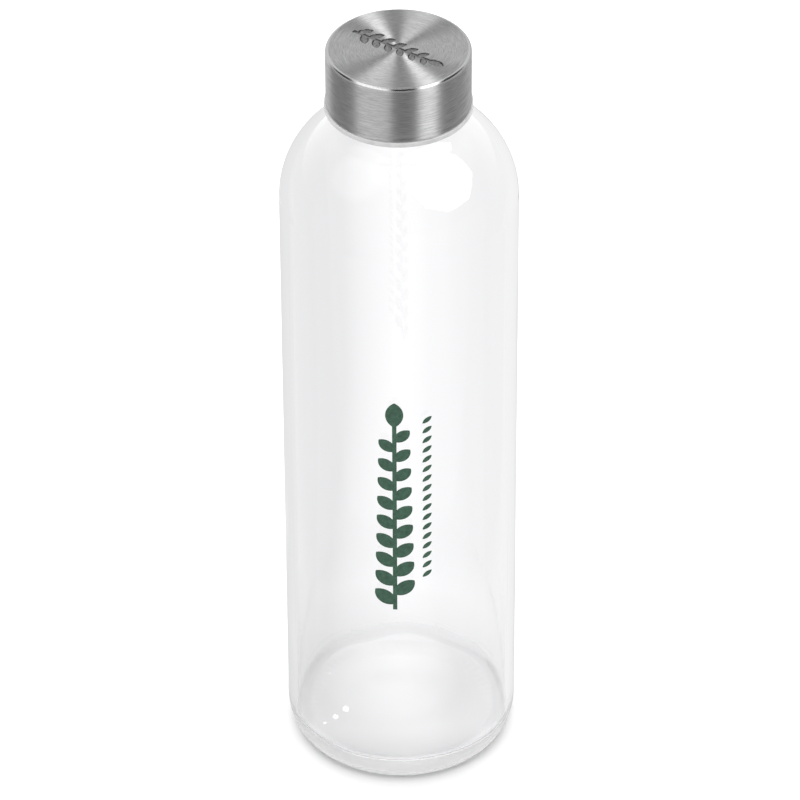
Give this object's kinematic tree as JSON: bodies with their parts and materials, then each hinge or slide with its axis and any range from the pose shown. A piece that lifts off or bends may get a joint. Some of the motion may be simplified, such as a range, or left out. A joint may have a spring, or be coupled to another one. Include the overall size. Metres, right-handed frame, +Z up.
{
  "type": "glass water bottle",
  "caption": "Slim clear glass water bottle with a rounded shoulder, short threaded neck and a brushed steel screw lid on a plastic liner.",
  "frame": {"origin": "centre of the base, on the plane that the bottle stands on", "axes": "+Z up along the bottle's axis, -Y towards the side with the print"},
  "size_m": [0.065, 0.0651, 0.2296],
  "materials": {
    "glass": "clear soda-lime glass, fire polished",
    "ink": "matte green screen-printed ink",
    "steel": "stainless steel, brushed in circles, polished top edge",
    "liner_plastic": "satin translucent polypropylene",
    "silicone": "soft translucent silicone"
  },
  "bodies": {
    "bottle": {"glass_bottle": "glass", "side_print": "ink"},
    "seal": {"seal_ring": "silicone"},
    "lid": {"lid_shell": "steel", "lid_liner": "liner_plastic"}
  },
  "joints": [
    {"name": "lid_lift", "type": "slide", "parent": "bottle", "child": "seal", "axis": [0, 0, 1], "range_m": [0, 0.042]},
    {"name": "lid_turn", "type": "hinge", "parent": "seal", "child": "lid", "pos_m": [0, 0, 0.22], "axis": [0, 0, 1], "range_deg": [0, 3600]}
  ],
  "couplings": [
    {"joint": "lid_lift", "follows": "lid_turn", "m_per_rad": 0.00066845}
  ]
}
